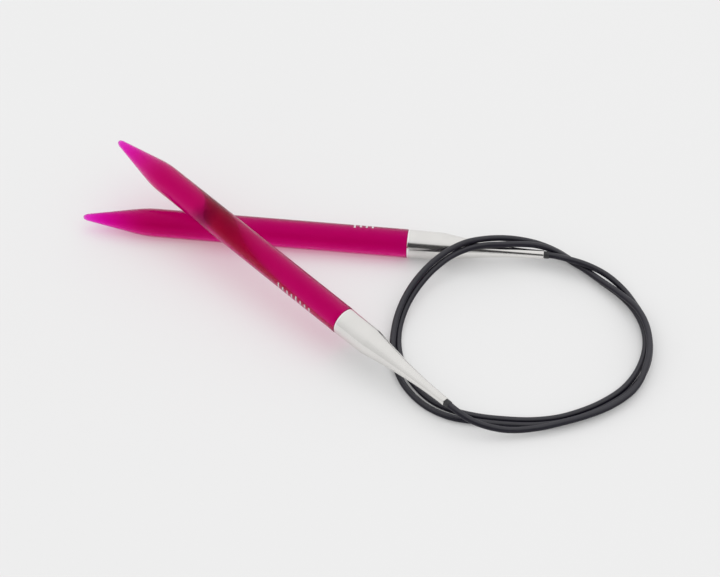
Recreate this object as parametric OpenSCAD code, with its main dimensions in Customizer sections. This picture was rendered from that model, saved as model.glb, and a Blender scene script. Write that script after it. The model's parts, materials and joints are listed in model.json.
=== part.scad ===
// Circular knitting needle: two acrylic needles with turned metal ferrules,
// joined by one flexible cable that lies coiled in two and a half turns.
// Millimetres. +Z up, the lowest cable strand rests on the plane z = 0.

/* [Needles] */
// Needle diameter, the knitting size
needle_d = 8; // [7:0.1:8]
// Length of one acrylic shaft, tip to metal
shaft_len = 92; // [80:1:100]
// Length of the sharpened cone at the tip
cone_len = 18; // [12:1:24]
// Radius of the rounded point
tip_r = 0.75; // [0.5:0.05:1.1]
// Length of the turned-down peg that is glued inside the ferrule
peg_len = 8; // [5:0.5:9]
// Radius of the peg
peg_r = 3.3; // [2.8:0.05:3.4]

/* [Ferrules] */
// Length of one metal ferrule outside the shaft
ferrule_len = 38; // [34:1:42]
// Length of the nearly straight part next to the shaft
ferrule_straight = 10; // [8:1:14]
// Outside radius at the mouth where the cable leaves
mouth_r = 1.2; // [1.15:0.01:1.4]
// How quickly the ferrule narrows, higher is quicker
taper_power = 1.85; // [1.4:0.05:2.2]

/* [Cable] */
// Outside diameter of the cable jacket
cable_d = 1.7; // [1.4:0.02:1.7]
// Diameter of the steel wire inside the jacket
wire_d = 0.9; // [0.6:0.05:1]
// Length of the dark collar at each ferrule mouth
collar_len = 1.5; // [1:0.1:2]
// Outside diameter of the collar
collar_d = 2.02; // [1.95:0.01:2.3]
// Sides of the cable's outline
cable_sides = 12; // [10:1:14]
// Angle between outline rings along the cable, degrees
ring_step = 6.5; // [5:0.5:9]
// Number of hinged links in the free end of the cable
link_count = 6; // [6:1:6]
// Turn of the coil taken by each link, degrees
link_turn = 20.8; // [20:0.1:21]

/* [Layout] */
// Plan position of the rear needle's point
rear_tip = [-78.62, 30.38]; // [-90:0.01:90]
// Heading of the rear needle from point to mouth, degrees
rear_heading = -6.81; // [-10:0.01:-3]
// Position of the front needle's point
front_tip = [-69.21, 49.75, 15.22]; // [-90:0.01:90]
// Heading of the front needle from point to mouth, degrees
front_heading = -45.45; // [-48:0.01:-43]
// Downward slope of the front needle towards its mouth, degrees
front_dip = 4.05; // [3.5:0.01:4.5]
// Centre of the coil in plan
coil_centre = [41.6, -13.75]; // [-60:0.1:60]

/* [Hidden] */
$fn = 48;

R = needle_d / 2;
rc = cable_d / 2;
rw = wire_d / 2;
run_gap = 0.05;                 // running clearance of the swivels
total_len = shaft_len + ferrule_len;
mouth_bore_len = 6;             // narrow bore behind the mouth
cavity_r = 1.15;                // bore that holds the swaged stop
crimp_len = 4;
function unit(v) = v / norm(v);

// needle axes: point, direction towards the mouth
rear_dir = [cos(rear_heading), sin(rear_heading), 0];
front_dir = [cos(front_heading) * cos(front_dip), sin(front_heading) * cos(front_dip), -sin(front_dip)];
rear_point = [rear_tip[0], rear_tip[1], R];
front_point = front_tip;
rear_mouth = rear_point + rear_dir * total_len;
front_mouth = front_point + front_dir * total_len;

// ---- coil route: plan angle (falling, clockwise from above), radius, height ----
// One row per station. The strand starts at the rear collar, makes two full
// turns and ends at the front collar.
zf = 0.85;                      // strand lying on the table
route_mid = [
    // first pass: over the two strands that come off the rear ferrule, then outer strand on the table
    [60, 30.8, 4.3], [50, 32.0, 4.12], [40, 33.85, 2.85], [30, 34.95, 1.55], [20, 35.35, zf],
    [7, 35.8, zf], [-6, 36.15, zf], [-20, 36.2, zf], [-34, 35.55, zf], [-48, 34.3, zf],
    [-60, 33.5, zf], [-72, 33.0, zf], [-84, 32.55, zf], [-99, 32.4, zf], [-112, 33.3, zf],
    [-122, 34.8, zf], [-132, 35.6, zf], [-148, 35.45, zf], [-165, 34.3, 1.35], [-183, 32.95, 2.45],
    [-198, 32.3, 3.75], [-213, 32.05, 5.15], [-228, 32.05, 6.7], [-238, 32.25, 7.45], [-247, 32.35, 7.8],
    [-256, 32.3, 7.55], [-265, 32.4, 7.0], [-274, 33.0, 5.8], [-283.5, 33.9, 4.0],
    // second pass: drops to the table inside the others
    [-292, 34.35, 2.2], [-301, 33.7, 1.0], [-310, 32.8, zf], [-320, 32.5, zf], [-333, 33.25, 1.15],
    [-348, 34.15, 1.8], [-366, 34.85, 2.05], [-380, 34.6, 1.75], [-394, 33.8, 1.15], [-408, 32.5, 0.9],
    [-420, 31.65, zf], [-432, 31.2, zf], [-444, 30.75, zf], [-459, 30.6, zf], [-472, 31.4, zf],
    [-482, 32.3, zf], [-492, 33.1, zf], [-508, 33.0, zf], [-525, 32.3, zf], [-543, 31.7, 1.1],
    [-558, 31.15, 2.35], [-573, 30.85, 3.75], [-588, 30.95, 5.2], [-598, 31.1, 6.05], [-607, 30.85, 6.65],
    [-616, 30.3, 7.0], [-625, 29.85, 6.95], [-634, 30.5, 6.45], [-643.5, 31.65, 5.5],
    // third pass: stays on top, then runs outermost to the front mouth
    [-652, 32.5, 3.95], [-661, 32.1, 2.5], [-670, 31.7, 2.33], [-680, 31.5, 2.38], [-693, 32.35, 2.95],
    [-708, 34.35, 3.65], [-726, 35.75, 3.75], [-740, 36.4, 3.55], [-754, 36.9, 2.6], [-768, 35.8, 2.2],
    [-780, 34.8, 2.25], [-792, 34.3, 2.2], [-804, 34.6, 1.95], [-819, 35.7, 2.5], [-832, 36.2, 4.3]];

// plan angle on the unwrapped coil, radius, height and slope of a free end
function polar(p, turns) = [atan2(p[1] - coil_centre[1], p[0] - coil_centre[0]) - 360 * turns,
                            norm([p[0] - coil_centre[0], p[1] - coil_centre[1]]), p[2]];
function out_of(a) = [cos(a), sin(a), 0];
function along(a) = [sin(a), -cos(a), 0];
// change of radius and of height per degree of falling angle, for travel direction d
function end_slope(q, d) = [q[1] * (d * out_of(q[0])) / (d * along(q[0])), q[1] * d[2] / (d * along(q[0]))] * PI / 180;
rear_exit = rear_mouth + rear_dir * collar_len;
front_exit = front_mouth + front_dir * collar_len;
qa = polar(rear_exit, 0);
qb = polar(front_exit, 2);
route = concat([qa], route_mid, [qb]);
last = len(route) - 1;
// tangents for travel along falling angle
function slope_at(i) =
    i == 0 ? end_slope(qa, rear_dir) :
    i == last ? end_slope(qb, -front_dir) :
    let (a = route[i - 1], b = route[i], c = route[i + 1], h0 = a[0] - b[0], h1 = b[0] - c[0])
    [for (k = [1, 2]) ((b[k] - a[k]) / h0 * h1 + (c[k] - b[k]) / h1 * h0) / (h0 + h1)];
slopes = [for (i = [0 : last]) slope_at(i)];
function seg_of(a, i = 0) = (i >= last - 1 || a >= route[i + 1][0]) ? i : seg_of(a, i + 1);
function hermite(p0, p1, m0, m1, u) = (2*u*u*u - 3*u*u + 1) * p0 + (u*u*u - 2*u*u + u) * m0
                                    + (3*u*u - 2*u*u*u) * p1 + (u*u*u - u*u) * m1;
function rz(a) = let (i = seg_of(a), h = route[i][0] - route[i + 1][0], u = (route[i][0] - a) / h)
    let (v = [for (k = [1, 2]) hermite(route[i][k], route[i + 1][k], slopes[i][k - 1] * h, slopes[i + 1][k - 1] * h, u)])
    [v[0], max(zf, v[1])];
function spot(a) = let (q = rz(a)) [coil_centre[0] + q[0] * cos(a), coil_centre[1] + q[0] * sin(a), q[1]];
function heading(a) = let (a1 = min(qa[0], a + 0.2), a2 = max(qb[0], a - 0.2)) unit(spot(a2) - spot(a1));
function side(t) = unit(cross([0, 0, 1], t));

// ---- sweep: a ring of points at every stop, stitched with triangles ----
// stop = [centre, heading, radius]
function ring(stop) = let (s = side(stop[1]), u = cross(stop[1], s))
    [for (k = [0 : cable_sides - 1]) stop[0] + stop[2] * (cos(k * 360 / cable_sides) * s + sin(k * 360 / cable_sides) * u)];
module skin(stops, closed = false) {
    n = cable_sides;
    m = len(stops);
    pts = concat([for (s = stops) each ring(s)], closed ? [] : [stops[0][0], stops[m - 1][0]]);
    walls = [for (i = [0 : m - (closed ? 1 : 2)]) for (k = [0 : n - 1])
        let (a = i * n + k, b = i * n + (k + 1) % n, j = (i + 1) % m, c = j * n + k, d = j * n + (k + 1) % n)
        each [[a, b, d], [a, d, c]]];
    caps = closed ? [] : concat([for (k = [0 : n - 1]) [m * n, (k + 1) % n, k]],
                                [for (k = [0 : n - 1]) [m * n + 1, (m - 1) * n + k, (m - 1) * n + (k + 1) % n]]);
    polyhedron(points = pts, faces = concat(walls, caps), convexity = 8);
}
// evenly spaced stops from angle a down to angle b
function stops_of(a, b, r) = let (k = max(2, ceil((a - b) / ring_step)))
    [for (i = [0 : k]) let (x = a - (a - b) * i / k) [spot(x), heading(x), r]];
function backwards(v) = [for (i = [len(v) - 1 : -1 : 0]) v[i]];
bore_r = rw + 0.08;
// open jacket from angle a to b
module jacket(a, b) skin(concat(stops_of(a, b, rc), backwards(stops_of(a, b, bore_r))), closed = true);

// coil body and hinges
link_ends = [for (i = [0 : link_count]) qb[0] + i * link_turn];   // hinge angles, mouth first
coil_end = link_ends[link_count];
coil_parts = 7;
trim = 0.05;                                   // gap at a cut face, millimetres
function deg(mm, a) = mm / rz(a)[0] * 180 / PI;
part_shift = 3;                                // degrees, keeps the cuts away from the end of the rear shaft
cut = (qa[0] - coil_end - deg(rc + trim, coil_end)) / coil_parts;
cuts = [for (i = [0 : coil_parts]) qa[0] - i * cut + (i > 0 && i < coil_parts ? part_shift : 0)];
module coil_part(i) jacket(cuts[i] - (i == 0 ? 0 : 0.02), cuts[i + 1]);
// the core's rings stand level with the jackets' rings, so the gap between them is even
module coil_core() skin(concat([for (i = [0 : coil_parts - 1])
    let (s = stops_of(cuts[i], cuts[i + 1], rw)) for (k = [0 : len(s) - 2]) s[k]],
    [[spot(cuts[coil_parts]), heading(cuts[coil_parts]), rw]]));
// one hinged link: a dome about the hinge at its coil end, a flat face at its mouth end
module link_jacket(i) {
    a = link_ends[i];                          // hinge nearer the coil
    b = link_ends[i - 1] + (i == 1 ? 0 : deg(rc + trim, link_ends[i - 1]));
    t = heading(a);
    dome = [for (w = [75, 50, 25]) [spot(a) - t * rc * sin(w), t, rc * cos(w)]];
    skin(concat(dome, stops_of(a, b, rc), backwards(stops_of(a - 1.2, b, bore_r))));
}
module link_wire(i) {
    a = link_ends[i] - 1.2;
    b = link_ends[i - 1] + (i == 1 ? 0 : deg(rc + trim, link_ends[i - 1]));
    s = stops_of(a, b, rw);
    skin(concat([[spot(a - 0.2), heading(a - 0.2), rw]], [for (k = [1 : len(s) - 1]) s[k]]));
}

// put a part drawn from x = 0 (the point) along +Z onto a needle axis
module on_axis(p, d) {
    translate(p) rotate([0, acos(d[2]), atan2(d[1], d[0])]) children();
}
module on_rear() on_axis(rear_point, rear_dir) children();
module on_front() on_axis(front_point, front_dir) children();

// ---- needle parts, drawn along +Z from the point ----
shoulder = 3;                                  // length over which cone and cylinder blend
cone_slope = (R - tip_r) / cone_len;
function cone_r(s) = s < cone_len - shoulder ? tip_r + cone_slope * s :
    let (u = (s - cone_len + shoulder) / (2 * shoulder)) // quadratic blend to the full radius
    tip_r + cone_slope * (cone_len - shoulder) + 2 * shoulder * cone_slope * (u - u * u / 2);
module shaft() {
    rotate_extrude($fn = 96) polygon(concat([[0, 0]],
            [for (w = [15 : 15 : 90]) [tip_r * sin(w), tip_r * (1 - cos(w))]],
            [for (s = [1.2 : 1.2 : cone_len - shoulder]) [cone_r(s), s]],
            [for (k = [1 : 7]) let (s = cone_len - shoulder + 2 * shoulder * k / 8) [min(R, cone_r(s)), s]],
            [[R, cone_len + shoulder], [R, shaft_len], [peg_r, shaft_len], [peg_r, shaft_len + peg_len - 0.3],
             [peg_r - 0.3, shaft_len + peg_len], [0, shaft_len + peg_len]]));
}
function ferrule_r(s) = s < ferrule_straight ? R - 0.015 * s :
    let (u = (s - ferrule_straight) / (ferrule_len - ferrule_straight), r0 = R - 0.015 * ferrule_straight)
    mouth_r + (r0 - mouth_r) * pow(1 - u, taper_power);
glue = 0.03;                                   // glue line round the peg
module ferrule() {
    translate([0, 0, shaft_len]) difference() {
        rotate_extrude($fn = 96) polygon(concat(
            [[0, 0.02], [R - 0.12, 0.02], [R, 0.14], [ferrule_r(ferrule_straight - 0.8), ferrule_straight - 0.8]],
            [for (k = [1 : 18]) let (s = ferrule_straight - 0.8 + (ferrule_len - 0.15 - ferrule_straight + 0.8) * k / 18)
                [ferrule_r(s), s]],
            [[mouth_r - 0.1, ferrule_len], [0, ferrule_len]]));
        translate([0, 0, -1]) cylinder(r = peg_r + glue, h = 1 + peg_len + glue);
        translate([0, 0, -1]) cylinder(r = cavity_r, h = 1 + ferrule_len - mouth_bore_len);
        translate([0, 0, ferrule_len - mouth_bore_len - 1]) cylinder(r = rc + run_gap, h = mouth_bore_len + 2);
    }
}
// swaged steel stop on the end of the wire, held behind the narrow bore
module crimp() {
    translate([0, 0, total_len - mouth_bore_len - run_gap - crimp_len]) difference() {
        cylinder(r = cavity_r - run_gap, h = crimp_len);
        translate([0, 0, -1]) cylinder(r = rw + 0.01, h = crimp_len + 2);
    }
}
// jacket inside the mouth, from the stop out to the end of the collar
module tail() {
    h = mouth_bore_len + collar_len;
    translate([0, 0, total_len - mouth_bore_len]) difference() {
        cylinder(r = rc, h = h);
        translate([0, 0, -1]) cylinder(r = rw + 0.03, h = h + 2);
    }
}
module tail_wire() {
    translate([0, 0, total_len - mouth_bore_len - run_gap - crimp_len + 0.2])
        cylinder(r = rw, h = crimp_len + run_gap + mouth_bore_len + collar_len - 0.25);
}
module collar() {
    translate([0, 0, total_len + 0.05]) difference() {
        cylinder(d = collar_d, h = collar_len - 0.05);
        translate([0, 0, -1]) cylinder(r = rc + 0.01, h = collar_len + 2);
    }
}

acrylic = [0.72, 0.0, 0.38, 0.85];
metal = [0.85, 0.86, 0.84];
nylon = [0.2, 0.2, 0.22];
black = [0.1, 0.1, 0.11];
steel = [0.6, 0.62, 0.65];

module rear_shaft() color(acrylic) on_rear() shaft();
module rear_ferrule() color(metal) on_rear() ferrule();
module rear_crimp() color(steel) on_rear() crimp();
module rear_collar() color(black) on_rear() collar();
module rear_tail() color(nylon) on_rear() tail();
module rear_tail_wire() color(steel) on_rear() tail_wire();
module front_shaft() color(acrylic) on_front() shaft();
module front_ferrule() color(metal) on_front() ferrule();
module front_crimp() color(steel) on_front() crimp();
module front_collar() color(black) on_front() collar();
module front_tail() color(nylon) on_front() tail();
module front_tail_wire() color(steel) on_front() tail_wire();
module coil_jacket_1() color(nylon) coil_part(0);
module coil_jacket_2() color(nylon) coil_part(1);
module coil_jacket_3() color(nylon) coil_part(2);
module coil_jacket_4() color(nylon) coil_part(3);
module coil_jacket_5() color(nylon) coil_part(4);
module coil_jacket_6() color(nylon) coil_part(5);
module coil_jacket_7() color(nylon) coil_part(6);
module coil_wire() color(steel) coil_core();
module link_1_jacket() color(nylon) link_jacket(1);
module link_2_jacket() color(nylon) link_jacket(2);
module link_3_jacket() color(nylon) link_jacket(3);
module link_4_jacket() color(nylon) link_jacket(4);
module link_5_jacket() color(nylon) link_jacket(5);
module link_6_jacket() color(nylon) link_jacket(6);
module link_1_wire() color(steel) link_wire(1);
module link_2_wire() color(steel) link_wire(2);
module link_3_wire() color(steel) link_wire(3);
module link_4_wire() color(steel) link_wire(4);
module link_5_wire() color(steel) link_wire(5);
module link_6_wire() color(steel) link_wire(6);

rear_shaft();
rear_ferrule();
rear_crimp();
rear_collar();
rear_tail();
rear_tail_wire();
front_shaft();
front_ferrule();
front_crimp();
front_collar();
front_tail();
front_tail_wire();
coil_jacket_1();
coil_jacket_2();
coil_jacket_3();
coil_jacket_4();
coil_jacket_5();
coil_jacket_6();
coil_jacket_7();
coil_wire();
link_1_jacket();
link_2_jacket();
link_3_jacket();
link_4_jacket();
link_5_jacket();
link_6_jacket();
link_1_wire();
link_2_wire();
link_3_wire();
link_4_wire();
link_5_wire();
link_6_wire();
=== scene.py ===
import bpy, bmesh, json, math
import numpy as np
from mathutils import Matrix, Vector


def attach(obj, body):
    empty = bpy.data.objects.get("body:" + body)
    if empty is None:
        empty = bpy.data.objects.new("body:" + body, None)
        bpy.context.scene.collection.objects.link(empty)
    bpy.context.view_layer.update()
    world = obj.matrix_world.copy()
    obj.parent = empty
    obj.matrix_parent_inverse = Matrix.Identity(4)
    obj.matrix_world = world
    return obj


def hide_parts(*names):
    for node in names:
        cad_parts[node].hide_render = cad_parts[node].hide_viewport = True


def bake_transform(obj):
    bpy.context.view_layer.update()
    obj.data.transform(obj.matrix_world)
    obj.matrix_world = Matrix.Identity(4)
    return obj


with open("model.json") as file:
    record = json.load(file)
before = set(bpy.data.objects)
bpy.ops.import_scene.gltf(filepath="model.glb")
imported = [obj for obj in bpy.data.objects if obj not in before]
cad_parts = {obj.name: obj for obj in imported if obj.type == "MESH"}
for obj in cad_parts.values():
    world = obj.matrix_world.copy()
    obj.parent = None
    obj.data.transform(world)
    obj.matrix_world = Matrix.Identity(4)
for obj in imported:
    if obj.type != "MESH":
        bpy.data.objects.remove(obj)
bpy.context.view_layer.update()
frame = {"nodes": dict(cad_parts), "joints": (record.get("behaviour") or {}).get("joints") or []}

MM = 0.001
scene = bpy.context.scene
joints = {j["name"]: j for j in frame["joints"]}

# ------------------------------------------------------------------ sizes (mm)
SHAFT, FERRULE, CONE, SHOULDER, TIP_R, R = 92.0, 38.0, 18.0, 3.0, 0.75, 4.0
PEG_L, PEG_R = 8.0, 3.3
STRAIGHT, MOUTH_R, POWER = 10.0, 1.2, 1.85
TOTAL = SHAFT + FERRULE
RC = 0.85
COLLAR_L, COLLAR_R = 1.5, 1.01
MOUTH_BORE = 6.0

# ------------------------------------------------------------------ needle axes from the joints
def axis_of(name):
    j = joints[name]
    d = Vector(j["axis"]).normalized()
    mouth = Vector(j["pos_m"])
    return mouth - d * TOTAL * MM, d
rear_p, rear_d = axis_of("rear_swivel")
front_p, front_d = axis_of("front_swivel")

def placed(point, d):
    """Object matrix that puts local +Z on d with local +Y as near up as it goes."""
    z = d
    x = Vector((0, 0, 1)).cross(z).normalized()
    y = z.cross(x)
    m = Matrix((x, y, z)).transposed().to_4x4()
    m.translation = point
    return m

# ------------------------------------------------------------------ mesh helpers
def new_obj(name, bm, mat, smooth_deg=35.0):
    bmesh.ops.recalc_face_normals(bm, faces=bm.faces)
    lim = math.radians(smooth_deg)
    for f in bm.faces:
        f.smooth = True
    for e in bm.edges:
        if len(e.link_faces) == 2 and e.calc_face_angle(0) > lim:
            e.smooth = False
    me = bpy.data.meshes.new(name)
    bm.to_mesh(me)
    bm.free()
    o = bpy.data.objects.new(name, me)
    scene.collection.objects.link(o)
    if mat:
        me.materials.append(mat)
    return o

def lathe(name, profile, mat, matrix, segs=128, closed=False, smooth_deg=35.0):
    """profile = [(r, s) mm]; a zero radius at either end closes with a pole; closed joins last to first."""
    bm = bmesh.new()
    rings = []
    for r, s in profile:
        if r <= 1e-9:
            rings.append([bm.verts.new((0, 0, s * MM))])
        else:
            rings.append([bm.verts.new((r * MM * math.cos(2 * math.pi * k / segs), r * MM * math.sin(2 * math.pi * k / segs), s * MM)) for k in range(segs)])
    pairs = list(zip(rings[:-1], rings[1:])) + ([(rings[-1], rings[0])] if closed else [])
    for a, b in pairs:
        for k in range(segs):
            q = (k + 1) % segs
            if len(a) == 1:
                bm.faces.new((a[0], b[q], b[k]))
            elif len(b) == 1:
                bm.faces.new((a[k], a[q], b[0]))
            else:
                bm.faces.new((a[k], a[q], b[q], b[k]))
    o = new_obj(name, bm, mat, smooth_deg)
    o.matrix_world = matrix
    return o

# ------------------------------------------------------------------ cable route (same rule as the CAD)
ZF = 0.85
MID = [
    (60, 30.8, 4.3), (50, 32.0, 4.12), (40, 33.85, 2.85), (30, 34.95, 1.55), (20, 35.35, ZF),
    (7, 35.8, ZF), (-6, 36.15, ZF), (-20, 36.2, ZF), (-34, 35.55, ZF), (-48, 34.3, ZF),
    (-60, 33.5, ZF), (-72, 33.0, ZF), (-84, 32.55, ZF), (-99, 32.4, ZF), (-112, 33.3, ZF),
    (-122, 34.8, ZF), (-132, 35.6, ZF), (-148, 35.45, ZF), (-165, 34.3, 1.35), (-183, 32.95, 2.45),
    (-198, 32.3, 3.75), (-213, 32.05, 5.15), (-228, 32.05, 6.7), (-238, 32.25, 7.45), (-247, 32.35, 7.8),
    (-256, 32.3, 7.55), (-265, 32.4, 7.0), (-274, 33.0, 5.8), (-283.5, 33.9, 4.0),
    (-292, 34.35, 2.2), (-301, 33.7, 1.0), (-310, 32.8, ZF), (-320, 32.5, ZF), (-333, 33.25, 1.15),
    (-348, 34.15, 1.8), (-366, 34.85, 2.05), (-380, 34.6, 1.75), (-394, 33.8, 1.15), (-408, 32.5, 0.9),
    (-420, 31.65, ZF), (-432, 31.2, ZF), (-444, 30.75, ZF), (-459, 30.6, ZF), (-472, 31.4, ZF),
    (-482, 32.3, ZF), (-492, 33.1, ZF), (-508, 33.0, ZF), (-525, 32.3, ZF), (-543, 31.7, 1.1),
    (-558, 31.15, 2.35), (-573, 30.85, 3.75), (-588, 30.95, 5.2), (-598, 31.1, 6.05), (-607, 30.85, 6.65),
    (-616, 30.3, 7.0), (-625, 29.85, 6.95), (-634, 30.5, 6.45), (-643.5, 31.65, 5.5),
    (-652, 32.5, 3.95), (-661, 32.1, 2.5), (-670, 31.7, 2.33), (-680, 31.5, 2.38), (-693, 32.35, 2.95),
    (-708, 34.35, 3.65), (-726, 35.75, 3.75), (-740, 36.4, 3.55), (-754, 36.9, 2.6), (-768, 35.8, 2.2),
    (-780, 34.8, 2.25), (-792, 34.3, 2.2), (-804, 34.6, 1.95), (-819, 35.7, 2.5), (-832, 36.2, 4.3)]
CENTRE = np.array([41.6, -13.75])
LINK_TURN = 20.8

rear_mouth = np.array((rear_p + rear_d * TOTAL * MM)) / MM
front_mouth = np.array((front_p + front_d * TOTAL * MM)) / MM
rd, fd = np.array(rear_d), np.array(front_d)

def polar(p, turns):
    v = p[:2] - CENTRE
    return [math.degrees(math.atan2(v[1], v[0])) - 360 * turns, float(np.hypot(*v)), float(p[2])]
def out_of(a):
    return np.array([math.cos(math.radians(a)), math.sin(math.radians(a)), 0])
def along(a):
    return np.array([math.sin(math.radians(a)), -math.cos(math.radians(a)), 0])
def end_slope(q, d):
    t = float(d @ along(q[0]))
    return [q[1] * float(d @ out_of(q[0])) / t * math.pi / 180, q[1] * float(d[2]) / t * math.pi / 180]
QA = polar(rear_mouth + rd * COLLAR_L, 0)
QB = polar(front_mouth + fd * COLLAR_L, 2)
ROUTE = [QA] + [list(m) for m in MID] + [QB]
LAST = len(ROUTE) - 1
def slope_at(i):
    if i == 0:
        return end_slope(QA, rd)
    if i == LAST:
        return end_slope(QB, -fd)
    a, b, c = ROUTE[i - 1], ROUTE[i], ROUTE[i + 1]
    h0, h1 = a[0] - b[0], b[0] - c[0]
    return [((b[k] - a[k]) / h0 * h1 + (c[k] - b[k]) / h1 * h0) / (h0 + h1) for k in (1, 2)]
SLOPES = [slope_at(i) for i in range(LAST + 1)]
def rz(a):
    i = 0
    while i < LAST - 1 and a < ROUTE[i + 1][0]:
        i += 1
    h = ROUTE[i][0] - ROUTE[i + 1][0]
    u = (ROUTE[i][0] - a) / h
    out = []
    for k in (1, 2):
        p0, p1, m0, m1 = ROUTE[i][k], ROUTE[i + 1][k], SLOPES[i][k - 1] * h, SLOPES[i + 1][k - 1] * h
        out.append((2*u**3 - 3*u*u + 1) * p0 + (u**3 - 2*u*u + u) * m0 + (3*u*u - 2*u**3) * p1 + (u**3 - u*u) * m1)
    return out[0], max(ZF, out[1])
def spot(a):
    r, z = rz(a)
    return np.array([CENTRE[0] + r * math.cos(math.radians(a)), CENTRE[1] + r * math.sin(math.radians(a)), z])
def heading(a):
    v = spot(max(QB[0], a - 0.2)) - spot(min(QA[0], a + 0.2))
    return v / np.linalg.norm(v)
HINGE = [QB[0] + i * LINK_TURN for i in range(7)]

# ------------------------------------------------------------------ material helpers
class Mat:
    def __init__(self, name):
        self.m = bpy.data.materials.new(name)
        self.m.use_nodes = True
        self.t = self.m.node_tree
        self.n = self.t.nodes
        self.out = self.n["Material Output"]
        self.bsdf = self.n["Principled BSDF"]
    def node(self, kind, **kw):
        x = self.n.new(kind)
        for k, v in kw.items():
            setattr(x, k, v)
        return x
    def link(self, a, b):
        self.t.links.new(a, b)
    def set(self, **kw):
        for k, v in kw.items():
            self.bsdf.inputs[k.replace("_", " ")].default_value = v
    def noise(self, scale, detail=3.0, rough=0.5, vec=None, stretch=None):
        n = self.node("ShaderNodeTexNoise")
        n.inputs["Scale"].default_value = scale
        n.inputs["Detail"].default_value = detail
        n.inputs["Roughness"].default_value = rough
        if vec is None:
            vec = self.coord()
        if stretch:
            mp = self.node("ShaderNodeMapping")
            mp.inputs["Scale"].default_value = stretch
            self.link(vec, mp.inputs["Vector"])
            vec = mp.outputs["Vector"]
        self.link(vec, n.inputs["Vector"])
        return n
    def coord(self):
        return self.node("ShaderNodeTexCoord").outputs["Object"]
    def ramp(self, src, stops):
        r = self.node("ShaderNodeValToRGB")
        el = r.color_ramp.elements
        while len(el) < len(stops):
            el.new(0.5)
        for e, (p, c) in zip(el, stops):
            e.position = p
            e.color = c if len(c) == 4 else (*c, 1)
        self.link(src, r.inputs["Fac"])
        return r
    def maprange(self, src, a, b, c, d):
        r = self.node("ShaderNodeMapRange")
        for k, v in zip(("From Min", "From Max", "To Min", "To Max"), (a, b, c, d)):
            r.inputs[k].default_value = v
        self.link(src, r.inputs["Value"])
        return r.outputs["Result"]
    def bump(self, height, strength, dist):
        b = self.node("ShaderNodeBump")
        b.inputs["Strength"].default_value = strength
        b.inputs["Distance"].default_value = dist
        self.link(height, b.inputs["Height"])
        self.link(b.outputs["Normal"], self.bsdf.inputs["Normal"])
        return b

# ---- magenta acrylic: clear body coloured in depth, softly polished surface
def acrylic(name="acrylic_magenta", painted_contact_shade=False):
    m = Mat(name)
    m.set(Base_Color=(1.0, 0.95, 0.99, 1), Roughness=0.16, IOR=1.49, Transmission_Weight=1.0,
          Specular_Tint=(1.0, 0.03, 0.4, 1))
    tc = m.coord()
    # polishing lines run round the shaft, faint clouding in the gloss
    lines = m.noise(900, 4, 0.55, tc, (0.05, 0.05, 3.0))
    cloud = m.noise(160, 3, 0.5, tc)
    m.link(m.maprange(cloud.outputs["Fac"], 0.3, 0.7, 0.2, 0.26), m.bsdf.inputs["Roughness"])
    if painted_contact_shade:
        # painted contact shade: on inner faces of the far side, the base colour is darkened by ambient occlusion
        # where another piece lies within 2.1 mm, standing in for the shade between touching rods
        ao = m.node("ShaderNodeAmbientOcclusion", inside=True, samples=12)
        ao.inputs["Distance"].default_value = 0.0021
        shade = m.maprange(ao.outputs["AO"], 0.35, 0.85, 0.03, 1.0)
        gm = m.node("ShaderNodeNewGeometry")
        mx = m.node("ShaderNodeMix", data_type="FLOAT")
        mx.inputs["A"].default_value = 1.0
        m.link(gm.outputs["Backfacing"], mx.inputs["Factor"])
        m.link(shade, mx.inputs["B"])
        tint = m.node("ShaderNodeMix", data_type="RGBA", blend_type="MULTIPLY")
        tint.inputs["Factor"].default_value = 1.0
        tint.inputs["A"].default_value = (1.0, 0.95, 0.99, 1)
        m.link(mx.outputs["Result"], tint.inputs["B"])
        m.link(tint.outputs["Result"], m.bsdf.inputs["Base Color"])
    m.bump(lines.outputs["Fac"], 0.05, 0.0002)
    # colour in depth
    ab = m.node("ShaderNodeVolumeAbsorption")
    ab.inputs["Color"].default_value = (0.957, 0.0, 0.847, 1)
    ab.inputs["Density"].default_value = 1600.0
    m.link(ab.outputs["Volume"], m.out.inputs["Volume"])
    # the light that lies on the table has come straight through, coloured by the same depth
    lp = m.node("ShaderNodeLightPath")
    soft = m.node("ShaderNodeMath"); soft.operation = "MAXIMUM"
    m.link(lp.outputs["Is Shadow Ray"], soft.inputs[0])
    m.link(lp.outputs["Is Diffuse Ray"], soft.inputs[1])
    tr = m.node("ShaderNodeBsdfTransparent")
    tr.inputs["Color"].default_value = (0.95, 0.93, 0.95, 1)
    mix = m.node("ShaderNodeMixShader")
    m.link(soft.outputs["Value"], mix.inputs["Fac"])
    m.link(m.bsdf.outputs["BSDF"], mix.inputs[1])
    m.link(tr.outputs["BSDF"], mix.inputs[2])
    m.link(mix.outputs["Shader"], m.out.inputs["Surface"])
    return m.m

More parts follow.
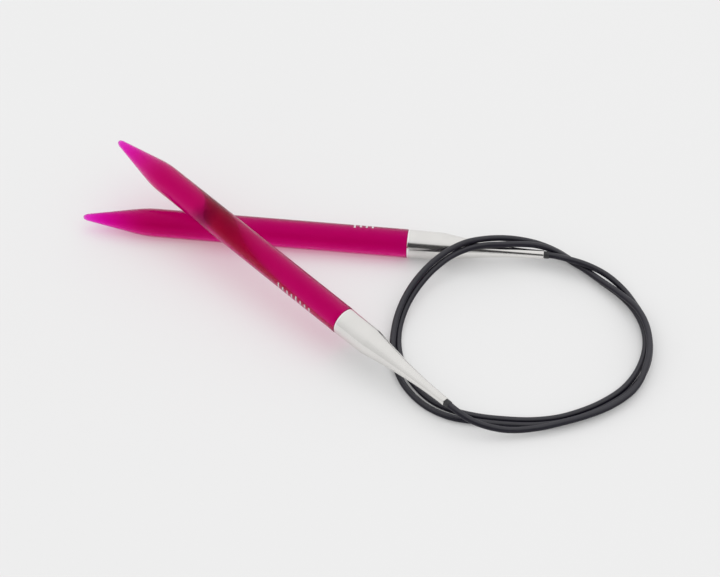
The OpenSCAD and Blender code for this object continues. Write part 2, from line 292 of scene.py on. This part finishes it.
# ---- satin turned metal: fine rings round the axis, slightly warm silver
def satin_metal(name="ferrule_satin", base=(0.825, 0.812, 0.79), rough=0.17, painted_highlight_end=0.0):
    m = Mat(name)
    m.set(Metallic=1.0, Roughness=rough)
    tc = m.coord()
    rings = m.noise(2600, 4, 0.6, tc, (0.01, 0.01, 3.0))
    cloud = m.noise(220, 3, 0.55, tc)
    m.link(m.maprange(rings.outputs["Fac"], 0.25, 0.75, rough - 0.03, rough + 0.04), m.bsdf.inputs["Roughness"])
    r = m.ramp(cloud.outputs["Fac"], [(0.3, (base[0] * 0.96, base[1] * 0.96, base[2] * 0.96)), (0.7, base)])
    color = r.outputs["Color"]
    if painted_highlight_end:
        # painted highlight: the first 0.35 mm gets a brighter, faintly pink base colour, standing in for the bright
        # ring of light caught at the joint
        xyz = m.node("ShaderNodeSeparateXYZ")
        m.link(tc, xyz.inputs["Vector"])
        painted_highlight_mask = m.maprange(xyz.outputs["Z"], painted_highlight_end - 0.00003, painted_highlight_end + 0.00003, 1.0, 0.0)
        mx = m.node("ShaderNodeMix", data_type="RGBA")
        mx.inputs["B"].default_value = (1.0, 0.97, 0.985, 1)
        m.link(painted_highlight_mask, mx.inputs["Factor"])
        m.link(color, mx.inputs["A"])
        color = mx.outputs["Result"]
    m.link(color, m.bsdf.inputs["Base Color"])
    m.bump(rings.outputs["Fac"], 0.03, 0.00003)
    return m.m

# ---- satin nylon jacket
def nylon():
    m = Mat("cable_nylon_charcoal")
    m.set(Roughness=0.36, IOR=1.5, Specular_IOR_Level=0.5)
    at = m.node("ShaderNodeAttribute")
    at.attribute_name = "cable_uv"
    die = m.noise(1.0, 4, 0.6, at.outputs["Vector"], (0.9, 14.0, 1.0))      # long drawing lines from the die
    grain = m.noise(1.0, 3, 0.6, at.outputs["Vector"], (14.0, 24.0, 1.0))
    r = m.ramp(die.outputs["Fac"], [(0.3, (0.008, 0.0072, 0.012)), (0.72, (0.018, 0.0165, 0.027))])
    # painted sheen: the specular level rises where the surface normal faces up and a little towards the camera,
    # standing in for an overhead light's highlight on the jacket's crown
    up = m.node("ShaderNodeVectorMath", operation="DOT_PRODUCT")
    up.inputs[1].default_value = (0.0, -0.26, 0.966)
    m.link(m.node("ShaderNodeNewGeometry").outputs["Normal"], up.inputs[0])
    m.link(m.maprange(up.outputs["Value"], 0.62, 1.0, 0.20, 0.66), m.bsdf.inputs["Specular IOR Level"])
    m.link(r.outputs["Color"], m.bsdf.inputs["Base Color"])
    m.link(m.maprange(grain.outputs["Fac"], 0.3, 0.7, 0.28, 0.42), m.bsdf.inputs["Roughness"])
    m.bump(die.outputs["Fac"], 0.12, 0.00005)
    return m.m

def black_plastic():
    m = Mat("collar_black")
    m.set(Roughness=0.5, IOR=1.5)
    n = m.noise(2500, 3)
    r = m.ramp(n.outputs["Fac"], [(0.3, (0.016, 0.016, 0.018)), (0.7, (0.03, 0.03, 0.033))])
    m.link(r.outputs["Color"], m.bsdf.inputs["Base Color"])
    m.bump(n.outputs["Fac"], 0.15, 0.00004)
    return m.m

def ink():
    m = Mat("white_ink")
    m.set(Roughness=0.55)
    n = m.noise(4000, 3)
    r = m.ramp(n.outputs["Fac"], [(0.25, (0.44, 0.38, 0.41)), (0.6, (0.68, 0.65, 0.66))])
    m.link(r.outputs["Color"], m.bsdf.inputs["Base Color"])
    return m.m

def table_top():
    # a pale sheet lit a little from below, as on a light table, so shadows stay faint
    m = Mat("plain_table")
    n = m.noise(3.0, 3)
    r = m.ramp(n.outputs["Fac"], [(0.3, (0.60, 0.60, 0.60)), (0.7, (0.607, 0.607, 0.607))])
    m.link(r.outputs["Color"], m.bsdf.inputs["Base Color"])
    m.set(Roughness=0.85, Specular_IOR_Level=0.15, Emission_Color=(1, 1, 1, 1), Emission_Strength=0.17)
    return m.m

# the ferrule material carries a painted highlight ring at its shaft end
M_ACR, M_MET, M_NYL, M_BLK, M_INK = acrylic(), satin_metal(painted_highlight_end=(SHAFT + 0.37) * MM), nylon(), black_plastic(), ink()
# the upper rod's acrylic carries the painted contact shade
M_ACR_TOP = acrylic("acrylic_magenta_top", True)
M_STEEL = satin_metal("crimp_steel", (0.56, 0.57, 0.59), 0.35)

# ------------------------------------------------------------------ needles
SLOPE = (R - TIP_R) / CONE
def cone_r(s):
    if s < CONE - SHOULDER:
        return TIP_R + SLOPE * s
    u = (s - CONE + SHOULDER) / (2 * SHOULDER)
    return TIP_R + SLOPE * (CONE - SHOULDER) + 2 * SHOULDER * SLOPE * (u - u * u / 2)
def ferrule_r(s):
    if s < STRAIGHT:
        return R - 0.015 * s
    u = min(1.0, (s - STRAIGHT) / (FERRULE - STRAIGHT))
    r0 = R - 0.015 * STRAIGHT
    return MOUTH_R + (r0 - MOUTH_R) * (1 - u) ** POWER
def smooth_ferrule_r(s):
    # the CAD's corner at the end of the straight part, eased over 1.6 mm
    if STRAIGHT - 0.8 <= s <= STRAIGHT + 0.8:
        k = [ferrule_r(min(FERRULE, max(0, s + d))) for d in (-0.5, -0.25, 0, 0.25, 0.5)]
        return min(ferrule_r(s), sum(k) / 5)
    return ferrule_r(s)

def shaft_profile():
    p = [(0.0, 0.0)]
    p += [(TIP_R * math.sin(math.radians(w)), TIP_R * (1 - math.cos(math.radians(w)))) for w in range(10, 91, 10)]
    s = 1.0
    while s < CONE - SHOULDER - 0.01:
        p.append((cone_r(s), s)); s += 0.5
    p += [(min(R, cone_r(CONE - SHOULDER + 2 * SHOULDER * k / 16)), CONE - SHOULDER + 2 * SHOULDER * k / 16) for k in range(0, 17)]
    s = CONE + SHOULDER + 3
    while s < SHAFT - 0.6:
        p.append((R, s)); s += 3.0
    p += [(R, SHAFT - 0.12), (R - 0.03, SHAFT - 0.03), (R - 0.10, SHAFT)]
    p += [(PEG_R, SHAFT), (PEG_R, SHAFT + PEG_L - 0.3), (PEG_R - 0.3, SHAFT + PEG_L), (0.0, SHAFT + PEG_L)]
    return p
def ferrule_profile():
    o = SHAFT
    p = [(PEG_R + 0.03, o + 0.02), (R - 0.20, o + 0.02), (R - 0.06, o + 0.06), (R, o + 0.20)]
    s = 0.8
    while s < FERRULE - 0.5:
        p.append((smooth_ferrule_r(s), o + s)); s += 0.4
    p += [(ferrule_r(FERRULE - 0.35), o + FERRULE - 0.35), (MOUTH_R - 0.01, o + FERRULE - 0.14), (MOUTH_R - 0.06, o + FERRULE - 0.04), (MOUTH_R - 0.13, o + FERRULE)]
    p += [(0.92, o + FERRULE), (0.90, o + FERRULE - 0.06), (0.90, o + FERRULE - MOUTH_BORE), (1.15, o + FERRULE - MOUTH_BORE),
          (1.15, o + PEG_L + 0.03), (PEG_R + 0.03, o + PEG_L + 0.03)]
    return p

for side, p, d in (("rear", rear_p, rear_d), ("front", front_p, front_d)):
    mat = placed(p, d)
    body = side + "_needle"
    sh = lathe(side + "_shaft_skin", shaft_profile(), M_ACR_TOP if side == "front" else M_ACR, mat, 160)
    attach(sh, body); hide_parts(side + "_shaft")
    fe = lathe(side + "_ferrule_skin", ferrule_profile(), M_MET, mat, 160, closed=True)
    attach(fe, body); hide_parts(side + "_ferrule")
    # collar: short ring with rolled edges, rides on the cable
    cable_body = "coil" if side == "rear" else "link_1"
    a, b = TOTAL + 0.05, TOTAL + COLLAR_L
    prof = [(RC + 0.01, a), (COLLAR_R - 0.10, a), (COLLAR_R - 0.03, a + 0.03), (COLLAR_R, a + 0.11), (COLLAR_R, (a + b) / 2),
            (COLLAR_R, b - 0.14), (COLLAR_R - 0.04, b - 0.05), (COLLAR_R - 0.12, b), (RC + 0.01, b)]
    co = lathe(side + "_collar_skin", prof, M_BLK, mat, 64, closed=True)
    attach(co, cable_body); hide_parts(side + "_collar")
    node = frame["nodes"][side + "_crimp"]
    node.data.materials.clear(); node.data.materials.append(M_STEEL)

# printed size mark stands as a generic row of tick bars
def ticks(name, p, d, s0, s1, ang, body, count=8):
    bm = bmesh.new()
    for i in range(count):
        s = s0 + (s1 - s0) * i / (count - 1)
        half = math.radians(17.0 if i % 4 == 0 else 11.0)
        w = 0.26
        n = 10
        for r0, r1 in ((R + 0.004, R + 0.024),):
            grid = []
            for j in range(n + 1):
                t = ang - half + 2 * half * j / n
                grid.append([bm.verts.new((r * MM * math.cos(t), r * MM * math.sin(t), z * MM)) for r, z in ((r0, s - w), (r0, s + w), (r1, s + w), (r1, s - w))])
            for j in range(n):
                for k in range(4):
                    q = (k + 1) % 4
                    bm.faces.new((grid[j][k], grid[j][q], grid[j + 1][q], grid[j + 1][k]))
            bm.faces.new(grid[0][::-1]); bm.faces.new(grid[n])
    o = new_obj(name, bm, M_INK)
    o.matrix_world = placed(p, d)
    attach(o, body)
    return o
ticks("front_size_ticks", front_p, front_d, 70.5, 82.5, math.radians(187), "front_needle")
ticks("rear_size_ticks", rear_p, rear_d, 77.0, 82.0, math.radians(66), "rear_needle", 4)

# ------------------------------------------------------------------ cable
SIDES = 28
def stations():
    """Centre line from inside the rear mouth to inside the front mouth: [(point mm, heading, length so far)]."""
    pts = []
    for k in range(13):
        s = TOTAL - MOUTH_BORE + (MOUTH_BORE + COLLAR_L) * k / 13
        pts.append((np.array(rear_p) / MM + rd * s, rd, None))
    n = 1 + int((QA[0] - QB[0]) / 1.3)
    for i in range(n + 1):
        a = QA[0] - (QA[0] - QB[0]) * i / n
        pts.append((spot(a), rd if i == 0 else -fd if i == n else heading(a), a))
    for k in range(1, 14):
        s = TOTAL + COLLAR_L - (MOUTH_BORE + COLLAR_L) * k / 13
        pts.append((np.array(front_p) / MM + fd * s, -fd, None))
    return pts
LINE = stations()
length = [0.0]
for a, b in zip(LINE[:-1], LINE[1:]):
    length.append(length[-1] + float(np.linalg.norm(b[0] - a[0])))
def index_at(angle):
    best = [i for i, l in enumerate(LINE) if l[2] is not None]
    return min(best, key=lambda i: abs(LINE[i][2] - angle))
def tube(name, i0, i1, caps=True):
    bm = bmesh.new()
    lay = bm.verts.layers.float_vector.new("cable_uv")
    rings = []
    for i in range(i0, i1 + 1):
        p, t, _ = LINE[i]
        s = np.cross([0, 0, 1.0], t); s = s / np.linalg.norm(s)
        u = np.cross(t, s)
        ring = []
        for k in range(SIDES):
            w = 2 * math.pi * k / SIDES
            v = bm.verts.new(tuple((p + RC * (math.cos(w) * s + math.sin(w) * u)) * MM))
            v[lay] = (length[i], math.cos(w) * 0.8, math.sin(w) * 0.8)
            ring.append(v)
        rings.append(ring)
    for a, b in zip(rings[:-1], rings[1:]):
        for k in range(SIDES):
            q = (k + 1) % SIDES
            bm.faces.new((a[k], a[q], b[q], b[k]))
    if caps:
        bm.faces.new(rings[0][::-1]); bm.faces.new(rings[-1])
    return new_obj(name, bm, M_NYL, 60)

# cuts lie halfway along each link, so that every piece crosses one hinge
half = LINK_TURN / 2
cut = [index_at(HINGE[6] + half)] + [index_at(HINGE[k] - half) for k in (6, 5, 4, 3, 2, 1)]
coil = tube("cable_coil", 0, cut[0])
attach(coil, "coil")
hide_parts(*["coil_jacket_%d" % i for i in range(1, 8)], "coil_wire", "rear_tail", "rear_tail_wire")
for n, k in enumerate((6, 5, 4, 3, 2, 1)):
    i0 = cut[n]
    i1 = cut[n + 1] if k > 1 else len(LINE) - 1
    piece = tube("cable_bend_%d" % k, i0, i1)
    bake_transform(piece)
    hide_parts("link_%d_jacket" % k, "link_%d_wire" % k)
    if k == 1:
        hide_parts("front_tail", "front_tail_wire")

# ------------------------------------------------------------------ stage
bm = bmesh.new()
bmesh.ops.create_grid(bm, x_segments=1, y_segments=1, size=6.0)
floor = new_obj("table_top", bm, table_top())
floor.location = (0, 0, 0)

world = bpy.data.worlds.new("studio")
scene.world = world
world.use_nodes = True
wt = world.node_tree
bg = wt.nodes["Background"]
# a soft box overhead with dimmer sides; reflections see pale walls and the dark room on the camera's side
def dot_with(tree, src, d):
    n = tree.nodes.new("ShaderNodeVectorMath"); n.operation = "DOT_PRODUCT"
    n.inputs[1].default_value = Vector(d).normalized()
    tree.links.new(src, n.inputs[0])
    return n.outputs["Value"]
def smooth_map(tree, src, a, b, c, d):
    n = tree.nodes.new("ShaderNodeMapRange"); n.interpolation_type = "SMOOTHSTEP"
    for k, v in zip(("From Min", "From Max", "To Min", "To Max"), (a, b, c, d)):
        n.inputs[k].default_value = v
    tree.links.new(src, n.inputs["Value"])
    return n.outputs["Result"]
def times(tree, a, b, op="MULTIPLY"):
    n = tree.nodes.new("ShaderNodeMath"); n.operation = op
    for k, v in enumerate((a, b)):
        if isinstance(v, (int, float)):
            n.inputs[k].default_value = v
        else:
            tree.links.new(v, n.inputs[k])
    return n.outputs["Value"]
tc = wt.nodes.new("ShaderNodeTexCoord")
dirs = tc.outputs["Generated"]
tent = smooth_map(wt, dot_with(wt, dirs, (0.12, 0.05, 1.0)), 0.0, 1.0, 0.60, 1.30)
walls = smooth_map(wt, dot_with(wt, dirs, (-0.1, 0.5, 0.85)), -0.3, 0.95, 0.70, 0.90)
# the dark room: from 10 to 52 degrees up, behind the camera, as wide as the window it stands in
height = dot_with(wt, dirs, (0, 0, 1))
up_lo = smooth_map(wt, height, 0.10, 0.24, 0.0, 1.0)
up_hi = smooth_map(wt, height, 0.70, 0.82, 1.0, 0.0)
level = times(wt, times(wt, 1.0, times(wt, height, height), "SUBTRACT"), 0.5, "POWER")
ahead = smooth_map(wt, times(wt, dot_with(wt, dirs, (-0.08, -1.0, 0)), level, "DIVIDE"), 0.72, 0.84, 0.0, 0.94)
dark = times(wt, times(wt, up_lo, up_hi), ahead)
walls = times(wt, walls, times(wt, 1.0, dark, "SUBTRACT"))
lp = wt.nodes.new("ShaderNodeLightPath")
pick = wt.nodes.new("ShaderNodeMix"); pick.data_type = "FLOAT"
wt.links.new(lp.outputs["Is Glossy Ray"], pick.inputs["Factor"])
wt.links.new(tent, pick.inputs["A"])
wt.links.new(walls, pick.inputs["B"])
wt.links.new(pick.outputs["Result"], bg.inputs["Strength"])
bg.inputs["Color"].default_value = (1.0, 1.0, 1.0, 1)

def area(name, loc, target, size, power):
    l = bpy.data.lights.new(name, "AREA")
    l.shape = "DISK"; l.size = size; l.energy = power
    o = bpy.data.objects.new(name, l)
    scene.collection.objects.link(o)
    o.location = loc
    o.rotation_mode = "QUATERNION"
    o.rotation_quaternion = (Vector(target) - Vector(loc)).to_track_quat("-Z", "Y")
    o.visible_glossy = False
    return o
area("key_soft", (0.35, 0.60, 1.20), (0.0, 0.0, 0.0), 0.8, 1.2)

# ------------------------------------------------------------------ camera
cam_data = bpy.data.cameras.new("camera")
cam_data.sensor_width = 36.0
cam_data.lens = 125.0
cam = bpy.data.objects.new("camera", cam_data)
scene.collection.objects.link(cam)
scene.camera = cam
el = math.radians(44.6)
look = Vector((-0.0006, 0.00565, 0.0))
back = Vector((0.0, -math.cos(el), math.sin(el)))
cam.location = look + back * 0.69079
cam.rotation_mode = "QUATERNION"
cam.rotation_quaternion = (-back).to_track_quat("-Z", "Y")
cam_data.clip_start, cam_data.clip_end = 0.01, 50

scene.view_settings.view_transform = "Standard"
scene.view_settings.look = "None"
